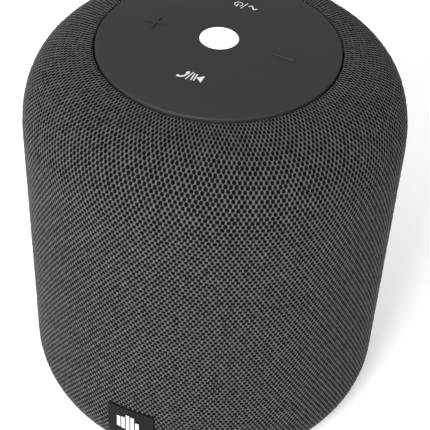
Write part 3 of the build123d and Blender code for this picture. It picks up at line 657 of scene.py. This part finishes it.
def climb(across):
    """Rows that the courses have sunk at a column."""
    columns = bpy.context.scene.speaker_sleeve.columns
    turn = 2 * math.pi * across / columns + START_ANGLE + math.pi / 2
    return HELIX_ROWS * across / columns + WAVE_ROWS * np.sin(3 * (turn - WAVE_TURN))


def chance(across, along, seed):
    """Repeatable number from -1 to 1 for a place in the knit, the same on both sides of a seam."""
    columns = bpy.context.scene.speaker_sleeve.columns
    turns = np.floor(across / columns + 1e-6)
    x = np.round((across - turns * columns) * 2) + 1
    y = np.round((along - turns * HELIX_ROWS) * 3) + 1
    wave = np.sin(x * 12.9898 + y * 78.233 + seed * 37.719) * 43758.5453
    return 2 * (wave - np.floor(wave)) - 1


def knit_points(across, along, depth):
    """Places of points given in columns, rows and depth below the outline."""
    sleeve = bpy.context.scene.speaker_sleeve
    row = np.clip(along - climb(across), 0, KNIT["rows"])
    radius, height, out_r, out_z = on_outline(np.interp(row, KNIT["row_at"], KNIT["lengths"]))
    radius = radius - out_r * depth
    height = height - out_z * depth
    angle = 2 * math.pi * (across + COLUMN_LEAN * row) / sleeve.columns + START_ANGLE
    return np.stack([radius * np.cos(angle), radius * np.sin(angle), height], axis=-1)


def port_reach(places):
    """How far places are from the middle line of the socket opening, and the opening's half height."""
    low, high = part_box("port_bezel")
    half_height = (high[2] - low[2]) / 2 - PORT_LIP + PORT_GAP
    half_line = (high[0] - low[0]) / 2 - PORT_LIP - half_height + PORT_GAP
    along = np.clip(places[:, 0], -half_line, half_line)
    middle = np.stack([along, places[:, 1], np.full(len(places), (low[2] + high[2]) / 2)], axis=-1)
    reach = np.linalg.norm((places - middle)[:, ::2], axis=1)
    return np.where(places[:, 1] > 0, reach, 1.0), half_height, middle


def clear_port(places):
    """Moves places inside the socket opening out to its edge, where the fabric is turned in."""
    reach, half_height, middle = port_reach(places)
    inside = reach < half_height
    out = (places - middle) * (half_height / np.maximum(reach, 1e-6))[:, None]
    moved = middle + out
    moved[:, 1] = places[:, 1] - 0.5 * MM
    return np.where(inside[:, None], moved, places)


def sleeve_sector(number):
    """One third of the knit tube, every hole a pit of its own, with its stitches' coordinates."""
    sleeve = bpy.context.scene.speaker_sleeve
    wide = sleeve.columns // SECTORS
    cells = []
    for column in range(number * wide, (number + 1) * wide):
        for row in range(-1, KNIT["rows"] + HELIX_ROWS + 2):
            cells.append((column + 0.5 * (row % 2), row))
    cells = np.array(cells)
    sunk = cells[:, 1] - climb(cells[:, 0])
    cells = cells[(sunk > -0.5) & (sunk < KNIT["rows"] + 0.5)]
    reach, half_height, _ = port_reach(knit_points(cells[:, 0], cells[:, 1], 0.0))
    cells = cells[reach > half_height - 0.3 * MM]
    count = len(cells)

    ring = np.array(RING)
    corners = cells[:, None, :] + ring[None]
    keys = np.round(corners.reshape(-1, 2) * 6).astype(int)
    _, first, back = np.unique(keys, axis=0, return_index=True, return_inverse=True)
    outer = corners.reshape(-1, 2)[first]
    outer_at = back.reshape(count, 6)

    size = sleeve.hole_share * (1 + sleeve.unevenness * 1.6 * chance(cells[:, 0], cells[:, 1], 1))
    shift = sleeve.unevenness * 0.45 * np.stack([chance(*cells.T, 2), chance(*cells.T, 3)], axis=-1)
    inner_spots = cells[:, None, :] + ring[None] * np.array([1.9, 2.2]) * sleeve.hole_share
    spread = ring[None] * np.array([1.9, 2.2]) * size[:, None, None]
    for side in range(6):
        spread[:, side] *= 1 + 0.8 * sleeve.unevenness * chance(cells[:, 0], cells[:, 1], 4 + side)[:, None]
    inner = cells[:, None, :] + spread + shift[:, None, :]

    level = np.abs(ring[:, 0]) > 0.25
    outer_depth = sleeve.lip_depth * (0.35 + 0.35 * chance(outer[:, 0], outer[:, 1], 11))
    outer_moved = outer + 0.25 * sleeve.unevenness * np.stack(
        [chance(*outer.T, 12), chance(*outer.T, 13)], axis=-1)
    inner_depth = sleeve.lip_depth * np.where(level, 0.75, 1.1)[None] * np.ones((count, 1))
    floor = cells + shift

    lattice = np.vstack([outer, inner_spots.reshape(-1, 2), cells])
    spots = np.vstack([outer_moved, inner.reshape(-1, 2), floor])
    depths = np.concatenate([outer_depth, inner_depth.ravel(), np.full(count, sleeve.pit_depth)])
    edge = lattice[:, 1] - climb(lattice[:, 0])
    depths = np.where((edge < 0.4) | (edge > KNIT["rows"] - 0.4), 0.0, depths)
    places = clear_port(knit_points(spots[:, 0], spots[:, 1], depths))

    inner_at = len(outer) + np.arange(count * 6).reshape(count, 6)
    floor_at = len(outer) + count * 6 + np.arange(count)
    faces = []
    for side in range(6):
        following = (side + 1) % 6
        faces += np.stack([outer_at[:, side], outer_at[:, following],
                           inner_at[:, following], inner_at[:, side]], axis=-1).tolist()
        faces += np.stack([inner_at[:, side], inner_at[:, following], floor_at], axis=-1).tolist()
    name = f"knit_sleeve_{number + 1}"
    mesh = bpy.data.meshes.new(name)
    mesh.from_pydata(places.tolist(), [], faces)
    layer = mesh.uv_layers.new(name="stitches")
    corners = np.empty(len(mesh.loops), dtype=np.int32)
    mesh.loops.foreach_get("vertex_index", corners)
    layer.data.foreach_set("uv", lattice[corners].astype(np.float32).ravel())
    mesh.polygons.foreach_set("use_smooth", [True] * len(mesh.polygons))
    mesh.validate()
    piece = bpy.data.objects.new(name, mesh)
    bpy.context.scene.collection.objects.link(piece)
    paint(piece, MATERIALS["knit_fabric"])
    return piece


class SPEAKER_OT_sleeve(bpy.types.Operator):
    """Knit sleeve in three sectors, stretched over the grille frame"""
    bl_idname = "speaker.sleeve"
    bl_label = "Knit sleeve"

    def execute(self, context):
        sleeve = context.scene.speaker_sleeve
        if sleeve.columns % SECTORS:
            raise RuntimeError("the number of columns has to be a multiple of three")
        lay_out_courses()
        for number in range(SECTORS):
            piece = sleeve_sector(number)
            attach(piece, "root")
            if number == 0:
                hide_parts("fabric_sleeve")
        return {"FINISHED"}


# ---------------------------------------------------------------- pad and keys

def disc(name, radius, low, high, around=192):
    """A level disc, put into its mesh."""
    deselect_all()
    bpy.ops.mesh.primitive_cylinder_add(vertices=around, radius=radius, depth=high - low,
                                        location=(0, 0, (low + high) / 2))
    piece = active_piece(name)
    settle(piece)
    return piece


def ring_top(piece, top, widths):
    """Insets the top face again and again, so that the dome has rings to follow."""
    make_active(piece)
    bpy.ops.object.mode_set(mode="EDIT")
    pick_faces(piece, lambda centre, normal: normal.z > 0.9999 and centre.z > top - 0.1 * MM)
    for width in widths:
        bpy.ops.mesh.inset(thickness=width, use_even_offset=True)
    bpy.ops.object.mode_set(mode="OBJECT")


def round_top_edge(piece, radius, top, width, segments):
    """Bevels the rim edge that lies on the top plane at a radius from the piece's centre."""
    centre = sum((Vector(corner) for corner in piece.bound_box), Vector()) / 8

    def on_rim(first, second):
        level = abs(first.z - top) < 0.02 * MM and abs(second.z - top) < 0.02 * MM
        out = [math.hypot(point.x - centre.x, point.y - centre.y) for point in (first, second)]
        return level and all(abs(reach - radius) < 0.05 * MM for reach in out)

    make_active(piece)
    bpy.ops.object.mode_set(mode="EDIT")
    pick_edges(piece, on_rim)
    bpy.ops.mesh.bevel(offset=width, segments=segments, profile=0.5)
    bpy.ops.object.mode_set(mode="OBJECT")


def pad_plate():
    """The domed pad with its rounded rim, and open holes for the keys and the light."""
    panel = bpy.context.scene.speaker_panel
    plate = disc("control_pad", PANEL_RADIUS, PANEL_FOOT, PANEL_RIM)
    round_top_edge(plate, PANEL_RADIUS, PANEL_RIM, panel.edge, 5)
    ring_top(plate, PANEL_RIM, [2.5 * MM] * 13)
    lay_on_dome_top(plate)
    cutters = [(0.0, 0.0, panel.lens_hole)]
    cutters += [(*key_place(key), panel.key_hole) for key in KEYS]
    for x, y, radius in cutters:
        deselect_all()
        bpy.ops.mesh.primitive_cylinder_add(vertices=96, radius=radius, depth=20 * MM,
                                            location=(x, y, PANEL_RIM))
        cutter = active_piece("hole_cutter")
        settle(cutter)
        cut(plate, cutter)
    return plate


def lay_on_dome_top(piece, low=None):
    """Lifts what lies above the pad's underside onto the dome, the more the higher it lies."""
    low = PANEL_FOOT if low is None else low
    for vertex in piece.data.vertices:
        share = min(max((vertex.co.z - low) / (PANEL_RIM - low), 0.0), 1.0)
        reach = min(math.hypot(vertex.co.x, vertex.co.y), PANEL_RADIUS)
        scale = reach / max(math.hypot(vertex.co.x, vertex.co.y), 1e-9)
        vertex.co.z += share * dome_rise(vertex.co.x * scale, vertex.co.y * scale)


def key_skin(key):
    """A key's round top, which fills its hole in the pad and follows the dome."""
    panel = bpy.context.scene.speaker_panel
    x, y = key_place(key)
    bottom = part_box("key_" + key)[0][2]
    cap = disc("skin_key_" + key, panel.key_hole - panel.seam, bottom, PANEL_RIM, 96)
    ring_top(cap, PANEL_RIM, [1.2 * MM] * 6)
    cap.location = (x, y, 0)
    settle(cap)
    lay_on_dome_top(cap, bottom)
    return cap


class SPEAKER_OT_pad(bpy.types.Operator):
    """Soft-touch domed pad on the top, with holes for the keys and the light"""
    bl_idname = "speaker.pad"
    bl_label = "Control pad"

    def execute(self, context):
        plate = pad_plate()
        smooth(plate, 30)
        paint(plate, MATERIALS["soft_touch"])
        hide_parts("top_panel")
        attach(plate, "root")
        return {"FINISHED"}


class SPEAKER_OT_keys(bpy.types.Operator):
    """Skins of the four keys, which lie flush in the pad"""
    bl_idname = "speaker.keys"
    bl_label = "Keys"

    def execute(self, context):
        for key in KEYS:
            cap = key_skin(key)
            smooth(cap, 30)
            paint(cap, MATERIALS["soft_touch"])
            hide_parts("key_" + key)
            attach(cap, f"key_{key}_body")
        return {"FINISHED"}


# ---------------------------------------------------------------- raised and printed signs

def bar_on_pad(name, centre, size, low, high, round_by):
    """A straight bar on the pad, in the level plane, with rounded ends."""
    deselect_all()
    bpy.ops.mesh.primitive_cube_add(size=1, location=(*centre, (low + high) / 2),
                                    scale=(size[0], size[1], high - low))
    piece = active_piece(name)
    settle(piece)
    make_active(piece)
    bpy.ops.object.mode_set(mode="EDIT")
    pick_edges(piece, lambda first, second: abs(first.z - second.z) > (high - low) / 2)
    bpy.ops.mesh.bevel(offset=round_by, segments=5)
    bpy.ops.object.mode_set(mode="OBJECT")
    return piece


def soften(piece, width, segments=3):
    modifier = piece.modifiers.new("soft edges", "BEVEL")
    modifier.width = width
    modifier.segments = segments
    modifier.limit_method = "ANGLE"
    modifier.angle_limit = math.radians(40)
    apply_modifiers(piece)


class SPEAKER_OT_raised_signs(bpy.types.Operator):
    """Raised plus and minus moulded into their keys"""
    bl_idname = "speaker.raised_signs"
    bl_label = "Raised signs"

    def execute(self, context):
        legend = context.scene.speaker_legend
        low = PANEL_RIM - 0.3 * MM
        high = PANEL_RIM + legend.sign_rise
        for key, upright in (("plus", True), ("minus", False)):
            x, y = key_place(key)
            bars = [bar_on_pad("bar", (x, y), (legend.sign_length, legend.sign_width), low, high,
                               round_by=0.45 * legend.sign_width)]
            if upright:
                other = bar_on_pad("bar", (x, y), (legend.sign_width, legend.sign_length), low, high,
                                   round_by=0.45 * legend.sign_width)
                cut(bars[0], other, "UNION")
            sign = bars[0]
            sign.name = sign.data.name = "raised_" + key
            soften(sign, 0.22 * MM)
            lay_on_dome(sign)
            smooth(sign, 50)
            paint(sign, MATERIALS["soft_touch"])
            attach(sign, f"key_{key}_body")
        return {"FINISHED"}


def flat_stroke(points, width, closed=False):
    """Outline of a flat ribbon through points, as vertices and faces, with mitred corners."""
    points = [Vector((*point, 0)) for point in points]
    count = len(points)
    verts, faces = [], []
    for index, point in enumerate(points):
        before = points[index - 1] if index or closed else None
        after = points[(index + 1) % count] if index + 1 < count or closed else None
        ahead = (after - point).normalized() if after is not None else (point - before).normalized()
        behind = (point - before).normalized() if before is not None else ahead
        along = (ahead + behind).normalized()
        side = Vector((-along.y, along.x, 0))
        share = max(abs(side.dot(Vector((-ahead.y, ahead.x, 0)))), 0.35)
        verts += [point + side * width / 2 / share, point - side * width / 2 / share]
    for index in range(count if closed else count - 1):
        a, b = 2 * index, 2 * ((index + 1) % count)
        faces.append((a, a + 1, b + 1, b))
    return verts, faces


def add_ribbons(work, strokes):
    """Adds flat ribbons, each given by its points, width and closedness, to a mesh being made."""
    for points, width, closed in strokes:
        verts, faces = flat_stroke(points, width, closed)
        made = [work.verts.new(vertex) for vertex in verts]
        for face in faces:
            work.faces.new([made[index] for index in face])


def arc(centre, radius, start, end, steps):
    """Points of an arc, in degrees from the reading frame's right, anticlockwise."""
    turn = np.radians(np.linspace(start, end, steps))
    return [(centre[0] + radius * math.cos(a), centre[1] + radius * math.sin(a)) for a in turn]


def in_mm(*points):
    """Points given in millimetres."""
    return [(x * MM, y * MM) for x, y in points]


def printed_sign(name, key, strokes, fills):
    """Thin white print on a key: strokes of even width and filled outlines, in the reader's frame.

    The reader looks from behind, so the reader's right is the model's left."""
    legend = bpy.context.scene.speaker_legend
    x, y = key_place(key)
    mesh = bpy.data.meshes.new(name)
    work = bmesh.new()
    add_ribbons(work, strokes)
    for points in fills:
        work.faces.new([work.verts.new((*point, 0)) for point in points])
    long_edges = [edge for edge in work.edges if edge.calc_length() > 1.2 * MM]
    bmesh.ops.subdivide_edges(work, edges=long_edges, cuts=2)
    bmesh.ops.triangulate(work, faces=work.faces[:])
    for vertex in work.verts:
        vertex.co = Vector((x - vertex.co.x, y - vertex.co.y, PANEL_RIM + legend.film / 2))
    bmesh.ops.recalc_face_normals(work, faces=work.faces[:])
    for face in work.faces:
        if face.normal.z < 0:
            face.normal_flip()
    work.to_mesh(mesh)
    work.free()
    piece = bpy.data.objects.new(name, mesh)
    bpy.context.scene.collection.objects.link(piece)
    wall = piece.modifiers.new("film", "SOLIDIFY")
    wall.thickness = legend.film
    wall.offset = 0
    apply_modifiers(piece)
    lay_on_dome(piece)
    paint(piece, MATERIALS["white_print"])
    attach(piece, f"key_{key}_body")
    return piece


def call_sign(stroke):
    """Play and pause, a slash, and a handset."""
    play = in_mm((-3.9, 1.6), (-3.9, -1.6), (-1.85, 0.0))
    pause = [in_mm((x, -1.62), (x, 1.62)) for x in (-1.55, -0.7)]
    slash = in_mm((-0.07, -1.95), (0.88, 1.93))
    handset = in_mm((3.95, 1.35), (3.3, 1.42), (2.6, 1.25), (2.0, 0.85), (1.6, 0.2), (1.4, -0.5))
    ear = in_mm((4.05, 1.7), (4.1, 1.05), (3.7, 0.8), (3.2, 1.0), (3.1, 1.6))
    mouth = in_mm((2.04, -1.22), (1.6, -1.65), (1.05, -1.76), (0.84, -1.31), (1.05, -0.45), (1.67, -0.4))
    strokes = [(line, stroke * 1.2, False) for line in pause]
    strokes += [(slash, stroke * 1.05, False), (handset, stroke * 1.75, False)]
    return strokes, [play, ear, mouth]


def mode_sign(stroke):
    """One turn of a sine wave, a slash, and a power sign."""
    start, length, height = -4.0, 2.9, 0.85
    wave = in_mm(*[(x, height * math.sin(2 * math.pi * (x - start) / length))
                   for x in np.linspace(start, start + length, 25)])
    slash = in_mm((-0.13, -1.85), (0.73, 2.1))
    ring = arc((2.4 * MM, -0.1 * MM), 1.3 * MM, 125, 415, 33)
    stem = in_mm((2.5, -0.15), (2.6, 1.75))
    strokes = [(wave, stroke * 1.35, False), (slash, stroke, False), (ring, stroke * 0.95, False),
               (stem, stroke * 1.35, False)]
    return strokes, []


class SPEAKER_OT_printed_signs(bpy.types.Operator):
    """White signs printed on the front and rear keys"""
    bl_idname = "speaker.printed_signs"
    bl_label = "Printed signs"

    def execute(self, context):
        stroke = context.scene.speaker_legend.stroke
        printed_sign("print_call", "call", *call_sign(stroke))
        printed_sign("print_mode", "mode", *mode_sign(stroke))
        return {"FINISHED"}


# ---------------------------------------------------------------- label tag

class SPEAKER_OT_tag(bpy.types.Operator):
    """Disc of five bars printed on the rubber tag at the front foot"""
    bl_idname = "speaker.tag"
    bl_label = "Tag mark"

    def execute(self, context):
        low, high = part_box("fabric_tag")
        middle = (low[2] + high[2]) / 2
        mesh = bpy.data.meshes.new("tag_mark")
        work = bmesh.new()
        shift = (low[0] + high[0]) / 2 + TAG_DISC_PLACE[0]
        lift = TAG_DISC_PLACE[1]
        strokes = []
        for step, share in ((-2, 1.0), (-1, 0.72), (0, 1.0), (1, 1.0), (2, 0.72)):
            x = step * TAG_BAR_PITCH
            half = math.sqrt(TAG_DISC ** 2 - x ** 2) * share
            line = [(x + shift, lift + half * t) for t in (-1.0, -0.5, 0.0, 0.5, 1.0)]
            strokes.append((line, TAG_BAR, False))
        add_ribbons(work, strokes)
        for vertex in work.verts:
            across, up = vertex.co.x, vertex.co.y
            height = middle + up
            reach = body_radius_at(height) + TAG_LIFT
            angle = across / reach
            vertex.co = Vector((reach * math.sin(angle), -reach * math.cos(angle), height))
        bmesh.ops.recalc_face_normals(work, faces=work.faces[:])
        for face in work.faces:
            if face.normal.y > 0:
                face.normal_flip()
        work.to_mesh(mesh)
        work.free()
        mark = bpy.data.objects.new("tag_mark", mesh)
        context.scene.collection.objects.link(mark)
        wall = mark.modifiers.new("film", "SOLIDIFY")
        wall.thickness = TAG_FILM
        wall.offset = 0
        apply_modifiers(mark)
        paint(mark, MATERIALS["white_print"])
        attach(mark, "root")
        return {"FINISHED"}


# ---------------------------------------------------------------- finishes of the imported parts

FINISHES = {
    "black_abs": (
        "base_cover", "port_bezel", "grille_frame", "control_carrier", "enclosure_tub", "enclosure_lid",
        "battery_holder", "sound_diffuser", "plunger_call", "plunger_minus", "plunger_mode", "plunger_plus",
        "radiator_frame"),
    "foot_silicone": ("foot_ring",),
    "tag_rubber": ("fabric_tag",),
    "led_white": ("light_lens", "status_led"),
    "clear_guide": ("light_guide",),
    "screw_steel": (
        "base_screws", "board_screws", "carrier_screws", "diffuser_screws", "driver_screws", "lid_screws",
        "main_board_screws", "port_board_screws", "radiator_screws"),
    "membrane_rubber": ("driver_surround", "radiator_surround", "driver_gasket", "lid_gasket"),
    "radiator_metal": ("radiator_plate",),
    "cell_wrap": ("battery_cells",),
    "basket_steel": ("driver_basket", "motor_top_plate", "motor_yoke"),
    "cone_paper": ("driver_cone", "dust_cap", "spider"),
    "coil_copper": ("voice_coil",),
    "ferrite": ("motor_magnet",),
    "circuit_board": ("control_board", "main_board", "port_board"),
    "chip_plastic": ("main_board_parts", "key_switches", "aux_jack"),
    "socket_steel": ("usb_c_socket",),
    "ribbon_white": ("ribbon_cable",),
}


class SPEAKER_OT_finishes(bpy.types.Operator):
    """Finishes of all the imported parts"""
    bl_idname = "speaker.finishes"
    bl_label = "Finishes"

    def execute(self, context):
        finished = set()
        for finish, names in FINISHES.items():
            for name in names:
                paint_node(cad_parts[name], MATERIALS[finish])
                finished.add(name)
        hidden = {name for name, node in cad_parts.items() if node.hide_render}
        left = set(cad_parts) - finished - hidden
        if left:
            raise RuntimeError(f"no finish for {sorted(left)}")
        return {"FINISHED"}


def paint_node(node, material):
    for place in range(max(len(node.material_slots), 1)):
        if not node.material_slots:
            node.data.materials.append(material)
        else:
            node.material_slots[place].material = material


# ---------------------------------------------------------------- studio

def area_light(name, place, size, power):
    """A square soft light aimed at the middle of the body."""
    light = bpy.data.lights.new(name, "AREA")
    light.energy = power
    light.size = size
    holder = bpy.data.objects.new(name, light)
    holder.location = place
    holder.rotation_euler = (Vector(LIGHT_AIM) - Vector(place)).to_track_quat("-Z", "Y").to_euler()
    bpy.context.scene.collection.objects.link(holder)


def camera_matrix(studio):
    """Camera's place and axes from its level distance, height, turn, pitch, pan and roll."""
    pan, pitch, roll = studio.pan, studio.pitch, studio.roll
    ahead = Vector((math.sin(pan) * math.cos(pitch), math.cos(pan) * math.cos(pitch), -math.sin(pitch)))
    right = Vector((math.cos(pan), -math.sin(pan), 0))
    up = right.cross(ahead)
    rolled_right = math.cos(roll) * right + math.sin(roll) * up
    rolled_up = -math.sin(roll) * right + math.cos(roll) * up
    axes = Matrix((rolled_right, rolled_up, -ahead)).transposed().to_4x4()
    place = Matrix.Translation((0, -studio.distance, studio.height))
    return Matrix.Rotation(studio.azimuth, 4, "Z") @ place @ axes


class SPEAKER_OT_studio(bpy.types.Operator):
    """Pale floor, soft lights and the camera"""
    bl_idname = "speaker.studio"
    bl_label = "Studio"

    def execute(self, context):
        scene = context.scene
        studio = scene.speaker_studio
        lens = bpy.data.cameras.new("camera")
        lens.lens = studio.lens
        lens.sensor_width = 36
        lens.sensor_fit = "HORIZONTAL"
        lens.clip_start = 0.01
        camera = bpy.data.objects.new("camera", lens)
        camera.matrix_world = camera_matrix(studio)
        scene.collection.objects.link(camera)
        scene.camera = camera

        deselect_all()
        bpy.ops.mesh.primitive_plane_add(size=6, location=(0, 0, 0))
        floor = active_piece("floor")
        floor_material, tree, shader = start_material("floor_paper", Roughness=0.9)
        grain = place_group(tree, "grain")
        grain.inputs["Patch Scale"].default_value = 6.0
        tone = tuple(studio.floor_colour)
        tree.links.new(mix_colour(tree, grain.outputs["Patches"], tuple(0.99 * v for v in tone), tone),
                       shader.inputs["Base Color"])
        shader.inputs["Emission Color"].default_value = (1, 1, 1, 1)
        shader.inputs["Emission Strength"].default_value = 0.3
        paint(floor, floor_material)

        area_light("key_light", (-0.15, -1.25, 0.8), 0.6, 21)
        area_light("fill_light", (0.9, -0.8, 0.5), 0.8, 2)
        area_light("top_light", (-0.2, -0.8, 1.4), 0.8, 4.0)

        world = bpy.data.worlds.new("studio_air")
        world.use_nodes = True
        background = world.node_tree.nodes["Background"]
        background.inputs["Color"].default_value = (1, 1, 1, 1)
        background.inputs["Strength"].default_value = 0.6
        scene.world = world
        scene.view_settings.view_transform = "Standard"
        return {"FINISHED"}


# ---------------------------------------------------------------- panel and run

SETTINGS = (("speaker_sleeve", SleeveSettings), ("speaker_panel", PanelSettings),
            ("speaker_legend", LegendSettings), ("speaker_studio", StudioSettings))
OPERATORS = (SPEAKER_OT_sleeve, SPEAKER_OT_pad, SPEAKER_OT_keys, SPEAKER_OT_raised_signs,
             SPEAKER_OT_printed_signs, SPEAKER_OT_tag, SPEAKER_OT_finishes, SPEAKER_OT_studio)


class SPEAKER_PT_maker(bpy.types.Panel):
    """Sidebar panel that lists the settings and the operators"""
    bl_idname = "SPEAKER_PT_maker"
    bl_label = "Speaker"
    bl_space_type = "VIEW_3D"
    bl_region_type = "UI"
    bl_category = "Speaker"

    def draw(self, context):
        layout = self.layout
        for name, group in SETTINGS:
            column = layout.column(align=True)
            for setting in group.__annotations__:
                column.prop(getattr(context.scene, name), setting)
        for operator in OPERATORS:
            layout.operator(operator.bl_idname)


def register():
    for name, group in SETTINGS:
        bpy.utils.register_class(group)
        setattr(bpy.types.Scene, name, PointerProperty(type=group))
    for operator in OPERATORS:
        bpy.utils.register_class(operator)
    bpy.utils.register_class(SPEAKER_PT_maker)


def unregister():
    bpy.utils.unregister_class(SPEAKER_PT_maker)
    for operator in reversed(OPERATORS):
        bpy.utils.unregister_class(operator)
    for name, group in reversed(SETTINGS):
        delattr(bpy.types.Scene, name)
        bpy.utils.unregister_class(group)


def main():
    register()
    MATERIALS.update(make_materials())
    bpy.ops.speaker.studio()
    bpy.ops.speaker.sleeve()
    bpy.ops.speaker.pad()
    bpy.ops.speaker.keys()
    bpy.ops.speaker.raised_signs()
    bpy.ops.speaker.printed_signs()
    bpy.ops.speaker.tag()
    bpy.ops.speaker.finishes()


if __name__ == "__main__":
    main()
